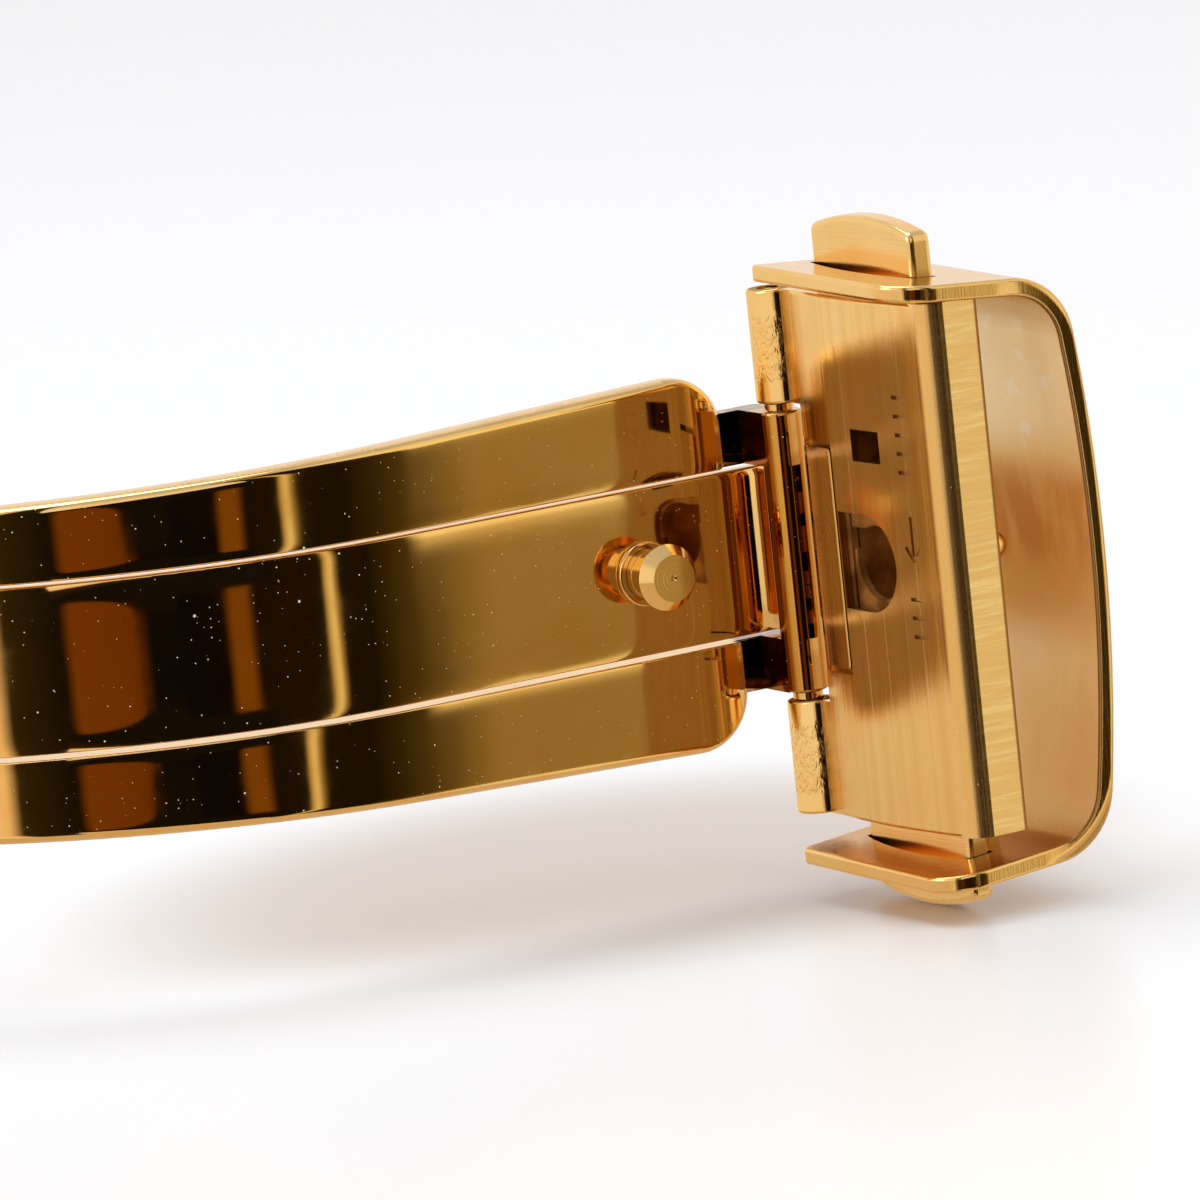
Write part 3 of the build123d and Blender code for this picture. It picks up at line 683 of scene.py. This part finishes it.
def boxGold(name, look=boxLook, wornAt=None):
    # brushed along Z on the face and across it on the end, over a soft rolled edge
    material, tree, shader = newFinish(name)
    x, y, z = tree.parts(tree.place())
    out, depth = hingeY - y, x - hingeX
    endFrom, endFull = (boxEnd - before for before in look["endRise"])
    end = out.rise(endFrom, endFull) * depth.rise(look["rollDeep"] * look["endFrom"], look["rollDeep"])
    rollFrom = boxEnd - look["rollWide"]
    roll = out.rise(rollFrom, rollFrom + look["rollSoft"]) * (1 - end)
    # painted shade: the holes' walls darkened, and rougher
    wall = 1 - tree.facing()[0].size().rise(*look["wallFacing"])
    wall = wall * (1 - out.rise(rollFrom - look["wallSoft"], rollFrom))
    wall = wall * (1 - z.size().rise(look["wallsTo"], look["wallsTo"] + look["wallSoft"]))
    lineFrom, lineFull = (boxBack - before for before in look["edgeLine"])
    dark = (wall + end * depth.rise(lineFrom, lineFull)).clamped()
    along = tree.grain(look["lines"], 4, 0.7)
    coarse = tree.grain(look["coarseLines"], 2)
    across = tree.grain(look["endLines"], 4, 0.65)
    bars = tree.grain(look["barLines"], 4, 0.7).rise(*look["bars"])
    dust = tree.dust(*look["dust"])
    scratch = along.rise(*look["scratch"]) * (1 - end)
    colour = tree.mix(coarse.rise(*look["deepRise"]), look["gold"], look["deep"])
    colour = tree.mix(scratch * look["scratchShare"], colour, look["worn"])
    colour = tree.mix(end, colour, tree.mix(bars, look["endDeep"], look["worn"]))
    colour = grimedAndShaded(tree, tree.mix(dark, colour, look["wall"]))
    metal = (end + roll + wall).clamped() * (1 - look["metallic"]) + look["metallic"]
    layDust(tree, shader, dust, colour, metal - scratch * look["scratchDull"], look["dustDull"])
    rough = along * look["lineRough"] + look["roughness"] + roll * look["rollRough"]
    rough = rough + wall * look["wallRough"] + end * look["endRough"] * across + dust * look["dustRough"]
    tree.feed(shader.inputs["Roughness"], rough.clamped())
    height = (along + coarse * look["coarseHeight"]) * (1 - end) * look["depth"]
    height = height + (across + bars * look["barHeight"]) * end * look["endDepth"]
    height = height - end * (depth - look["rollDeep"]) * look["endLean"]
    if wornAt is not None:
        near = (out - (wornAt - look["wornWidth"])).maths("MAXIMUM", 0.0)
        height = height - near * near * look["wornTurn"]
    tree.feed(shader.inputs["Normal"], tree.bump(height))
    return material


innerLook = {
    "colour": (0.60, 0.31, 0.09),
    "deep": (0.27, 0.11, 0.03),
    "stainScale": 0.9,
    "stain": (0.35, 0.65),
    "metallic": 0.9,
    "roughness": 0.38,
    "grainRough": 0.25,
    "grain": (6, 6, 2.5),
    "depth": 0.012,
}


def innerGold(name, look=innerLook):
    # as stamped and tarnished inside the box
    material, tree, shader = newFinish(name)
    grain = tree.grain(look["grain"], 4, 0.7)
    stain = tree.noise(tree.place(), look["stainScale"], 3).rise(*look["stain"])
    tree.feed(shader.inputs["Base Color"], tree.mix(stain, look["colour"], look["deep"]))
    shader.inputs["Metallic"].default_value = look["metallic"]
    tree.feed(shader.inputs["Roughness"], grain * look["grainRough"] + look["roughness"])
    tree.feed(shader.inputs["Normal"], tree.bump(grain * look["depth"]))
    return material


filedLook = {
    "dust": (2.6, 0.06, 0.3),
    "roughness": 0.09,
    "lineRough": 0.1,
    "lines": (12, 12, 0.02),
    "coarseLines": (2.4, 2.4, 0.008),
    "coarseHeight": 2,
    "stripDepth": 0.005,     # brush lines on the strip, and on the knuckles
    "knuckleDepth": 0.003,
    "knucklePolish": 0.04,   # how much smoother the knuckles are
    "knuckleEdge": (0.75, 0.95),     # out from the hinge, where they end
    "chatterFrom": 5.9,      # height over the middle of the marked stretch of each knuckle
    "chatterTo": 7.9,
    "chatterSoft": 0.3,
    "chatterCells": (5, 9, 3.5),
    "chatter": (0.35, 0.65),
    "chatterRough": 0.14,
    "chatterDepth": 0.012,
    "lean": 0.4,             # how far the knuckles' faces read as flat
    "leanWay": (-0.94, -0.1, 0.1),
    "shade": (0.30, 0.14, 0.035),
    "shadeSide": (-0.35, -0.05),
    "shadeMottle": 0.6,
}


def filedGold(name, look=filedLook):
    # the hinge block: knuckles with chatter marks, and a brushed strip
    material, tree, shader = newFinish(name)
    _, y, z = tree.parts(tree.place())
    fine = tree.grain(look["lines"], 4, 0.7)
    coarse = tree.grain(look["coarseLines"], 2)
    knuckle = 1 - (hingeY - y).rise(*look["knuckleEdge"])
    chatter = tree.grain(look["chatterCells"], 2)
    marked = z.size().band(look["chatterFrom"], look["chatterTo"], look["chatterSoft"])
    marks = knuckle * marked * chatter.rise(*look["chatter"])
    dust = tree.dust(*look["dust"])
    mottle = chatter * look["shadeMottle"] + (1 - look["shadeMottle"])
    shade = knuckle * tree.facing()[0].rise(*look["shadeSide"]) * mottle
    colour = tree.mix(shade.clamped(), clouded(tree), look["shade"])
    layDust(tree, shader, dust, grimedAndShaded(tree, colour))
    rough = fine * look["lineRough"] + look["roughness"] - knuckle * look["knucklePolish"]
    tree.feed(shader.inputs["Roughness"], (rough + marks * look["chatterRough"]).clamped())
    height = (fine + coarse * look["coarseHeight"]) * (1 - knuckle) * look["stripDepth"]
    height = height + marks * chatter * look["chatterDepth"] + fine * knuckle * look["knuckleDepth"]
    normal = tree.towards(knuckle * look["lean"], look["leanWay"])
    tree.feed(shader.inputs["Normal"], tree.bump(height, normal))
    return material


coverLook = {
    "dust": (2.2, 0.05, 0.3),
    "dustDull": 0.7,
    "dustRough": 0.3,
    "outsideRough": 0.1,
    "lines": (12, 12, 0.3),
    "lineRough": 0.07,
    "lineDepth": 0.004,
    "flangeFacing": (0.7, 0.9),      # how squarely a face looks along the axis
    "flangeLines": (0.4, 12, 12),
    "flangeDepth": 0.006,
    "backRise": (2.2, 3.2),          # depth behind the hinge where the cover's back starts
    "insideFacing": (0.2, 0.8),
    "insideRough": 0.2,
    "blotch": (0.5, 0.9, 0.35),
    "blotchRough": 0.1,
    "insideLines": (1, 14, 0.7),
    "slant": (35, 0, 0),
    "insideDepth": 0.004,
    "inside": (1.0, 0.81, 0.45),
    "insideShaded": (0.98, 0.68, 0.29),
    "insideLowShade": (0.80, 0.47, 0.14), # painted shade towards the lower flange
    "lowRise": (2.0, 6.5),
    "paintedLightHeight": 7,         # painted light: the inside is palest from about this height up
    "paintedLightBlotch": 1.5,
    "paleRise": (0.3, 1.6),
    "insideMetallic": 0.86,
    "cloud": (0.80, 0.42, 0.10),     # across the middle
    "cloudBand": (0.1, 1.8, 1.4),
    "cloudRise": (0.3, 0.6),
    "cloudShare": 0.8,
    "paintedHighlight": (1.0, 0.94, 0.78),      # painted highlights: bright spots higher up
    "patchScale": 1.1,
    "patchBand": (3.6, 7, 1.5),
    "patchRise": (0.55, 0.66),
    "patchShare": 0.6,
    # painted reflection: the lower flange's inner face dark, as it mirrors the box's dark bottom
    "lowFlangeReflection": (0.64, 0.32, 0.06),
    "lowFlangeFacing": (0.6, 0.9),
    "lowFlangeTop": (-8.2, -7.5),
    "rim": (0.30, 0.14, 0.04),       # where the inside turns into the cut edge
    "rimBand": (0.25, 0.8, 0.15),
    "rimFacing": (0.1, 0.4),
    "mouthWay": (-0.60, 0.55, 0.58), # where the satin inside leans
    "mouthLean": 0.3,
    "edgeFacing": (0.95, 0.995),
    "edgeLean": 0.12,        # slope that turns the cut edge's reflections to the dark front
    "bevel": 0.22,           # the bright worn bevel round the outside of the cut edge
    "bevelTurn": 2.4,
    "cornerRadius": 2.4,
    "crown": 0.8,
    "splay": 0.0857,
    "backAt": 4.8,           # from the hinge's level to the back's corners
    "halfWidth": 10.06,
    "mouthAt": -1.55,
    "drop": 0.15,
}


def coverDepth(x, z, look):
    # how far a point lies inside the cover's outer surface
    below = x - hingeX
    side = (z + look["drop"]).size()
    share = side / look["halfWidth"]
    back = (1 - share * share) * look["crown"] + (look["backAt"] - look["cornerRadius"])
    width = (look["halfWidth"] - look["cornerRadius"]) - (below - look["mouthAt"]) * look["splay"]
    overBack = (below - back).maths("MAXIMUM", 0.0)
    overSide = (side - width).maths("MAXIMUM", 0.0)
    return look["cornerRadius"] - (overBack * overBack + overSide * overSide) ** 0.5


# the satin inside: painted light at the top, painted highlight spots, painted shade low down
def satinColour(tree, z, blotch, inside, look):
    paintedLightTop = (z / look["paintedLightHeight"] + blotch * look["paintedLightBlotch"]).rise(*look["paleRise"])
    satin = tree.mix(paintedLightTop, look["insideShaded"], look["inside"])
    satin = tree.mix((-z).rise(*look["lowRise"]), satin, look["insideLowShade"])
    cloud = z.band(*look["cloudBand"]) * blotch.rise(*look["cloudRise"])
    satin = tree.mix(cloud * look["cloudShare"], satin, look["cloud"])
    paintedHighlights = tree.noise(tree.place(), look["patchScale"], 2).rise(*look["patchRise"])
    paintedHighlights = paintedHighlights * z.band(*look["patchBand"]) * inside
    return tree.mix(paintedHighlights * look["patchShare"], satin, look["paintedHighlight"])


def coverGold(name, look=coverLook):
    # satin inside, brushed outside, a dull cut edge between bright bevels
    material, tree, shader = newFinish(name)
    x, _, z = tree.parts(tree.place())
    faceX, faceY, faceZ = tree.facing()
    onBack = (x - hingeX).rise(*look["backRise"])
    inside = (-faceX).rise(*look["insideFacing"]) * onBack
    edge = (-faceY).rise(*look["edgeFacing"]) * onBack
    rim = (-faceY).band(*look["rimBand"]) * (-faceX).rise(*look["rimFacing"]) * onBack
    flange = faceZ.size().rise(*look["flangeFacing"])
    lowInnerReflection = faceZ.rise(*look["lowFlangeFacing"]) * (1 - z.rise(*look["lowFlangeTop"]))
    blotch = tree.grain(look["blotch"], 3, 0.55)
    lines = tree.grain(look["lines"], 4, 0.65)
    slanted = tree.grain(look["insideLines"], 4, 0.7, look["slant"])
    flangeLines = tree.grain(look["flangeLines"], 4, 0.65)
    dust = tree.dust(*look["dust"])
    colour = tree.mix(inside, clouded(tree), satinColour(tree, z, blotch, inside, look))
    # painted dark reflection on the lower flange's inner face
    colour = tree.mix(lowInnerReflection, colour, look["lowFlangeReflection"])
    colour = grimedAndShaded(tree, tree.mix(rim, colour, look["rim"]))
    layDust(tree, shader, dust, colour, 1 - inside * (1 - look["insideMetallic"]), look["dustDull"])
    rough = lines * look["lineRough"] + look["outsideRough"] + dust * look["dustRough"]
    rough = rough + inside * (blotch * look["blotchRough"] + look["insideRough"])
    tree.feed(shader.inputs["Roughness"], rough.clamped())
    height = lines * (1 - flange) * (1 - inside) * look["lineDepth"]
    height = height + flangeLines * flange * look["flangeDepth"] + slanted * inside * look["insideDepth"]
    depth = coverDepth(x, z, look)
    near = (look["bevel"] - depth).maths("MAXIMUM", 0.0)
    height = height - edge * (depth * look["edgeLean"] + near * near * look["bevelTurn"] / 2)
    normal = tree.towards(inside * look["mouthLean"], look["mouthWay"])
    tree.feed(shader.inputs["Normal"], tree.bump(height, normal))
    return material


buttonLook = {
    "lines": (15, 0.4, 15),
    "depth": 0.003,
    "roughness": 0.12,
    "lineRough": 0.08,
    "dust": (2.6, 0.06, 0.3),
    "dustRough": 0.3,
}


def buttonGold(name, look=buttonLook):
    material, tree, shader = newFinish(name)
    fine = tree.grain(look["lines"], 4, 0.65)
    dust = tree.dust(*look["dust"])
    layDust(tree, shader, dust, grimedAndShaded(tree, clouded(tree)))
    rough = fine * look["lineRough"] + look["roughness"] + dust * look["dustRough"]
    tree.feed(shader.inputs["Roughness"], rough.clamped())
    tree.feed(shader.inputs["Normal"], tree.bump(fine * look["depth"]))
    return material


steelLook = {
    "colour": (0.72, 0.70, 0.66),
    "deep": (0.6, 0.58, 0.55),
    "dust": (3.0, 0.06, 0.3),
    "dustColour": (0.8, 0.79, 0.76),
    "rings": (1, 1, 18),
    "ringDepth": 0.002,
    "roughness": 0.15,
    "ringRough": 0.15,
}


def pinSteel(name, look=steelLook):
    # ground round, with fine rings along the pin
    material, tree, shader = newFinish(name)
    rings = tree.grain(look["rings"], 3)
    layDust(tree, shader, tree.dust(*look["dust"]), grimedAndShaded(tree, clouded(tree, look)), look=look)
    tree.feed(shader.inputs["Roughness"], (rings * look["ringRough"] + look["roughness"]).clamped())
    tree.feed(shader.inputs["Normal"], tree.bump(rings * look["ringDepth"]))
    return material


springLook = {
    "pitch": 0.36,
    "wire": 0.2,
    "wireEdge": (0.7, 0.85),
    # painted shade: the wire darker than bare steel as it lies in the box, the gaps between coils near black
    "metal": (0.42, 0.33, 0.24),
    "gap": (0.06, 0.035, 0.02),
    "gapRough": 0.6,
    "wirePolish": 0.35,      # how much smoother the wire is than the gap
}


def springWire(name, middle, look=springLook):
    # coils drawn on the tube that stands for a fine spring: middle is its axis in mm
    material, tree, shader = newFinish(name)
    x, y, z = tree.parts(tree.place())
    turn = (y - middle[1]).maths("ARCTAN2", x - middle[0]) / (2 * math.pi)
    across = ((z / look["pitch"] + turn).maths("FRACT") - 0.5).size() * 2
    wire = 1 - across.rise(*look["wireEdge"])
    # painted shade: dark wire, near-black gaps between the coils
    tree.feed(shader.inputs["Base Color"], tree.mix(wire, look["gap"], look["metal"]))
    shader.inputs["Metallic"].default_value = 1.0
    tree.feed(shader.inputs["Roughness"], look["gapRough"] - wire * look["wirePolish"])
    tree.feed(shader.inputs["Normal"], tree.bump((1 - across * across) * look["wire"] / 2))
    return material


def setFinish(material, *names):
    for name in names:
        piece = frame["nodes"][name]
        piece.data.materials.clear()
        piece.data.materials.append(material)


def middleOf(name):
    low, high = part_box(name)
    return [(a + b) / 2 / mm for a, b in zip(low, high)]


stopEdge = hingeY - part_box("stop_block")[0][1] / mm
setFinish(bladeGold("centreBladeGold", True), "centre_blade")
setFinish(bladeGold("railGold", False), "frame_blade")
setFinish(turnedGold("turnedStudGold", 1, middleOf("catch_stud")), "catch_stud", "stud_collar")
setFinish(turnedGold("headWasherGold", 2, middleOf("head_washers")), "head_washers")
setFinish(turnedGold("foldWasherGold", 2, middleOf("fold_washers")), "fold_washers")
setFinish(turnedGold("tangGold", 0, middleOf("strap_tang")), "strap_tang")
setFinish(boxGold("boxBrushedGold"), "catch_box", "back_plate", "back_plate_rivets", "side_bridges")
setFinish(boxGold("stopBrushedGold", stopLook, stopEdge), "stop_block")
setFinish(innerGold("innerStampedGold"), "upper_catch", "lower_catch", "stud_well")
setFinish(filedGold("filedHingeGold"), "hinge_block")
setFinish(coverGold("coverSatinGold"), "head_cover")
setFinish(buttonGold("buttonBrushedGold"), "upper_button", "lower_button")
setFinish(pinSteel("groundPinSteel"), "fold_pin", "head_pin")
for spring in ("hinge_side_spring", "free_side_spring"):
    setFinish(springWire(spring + "Wire", middleOf(spring)), spring)
print("finishes made")

for piece in frame["nodes"].values():
    for polygon in piece.data.polygons:
        polygon.use_smooth = True
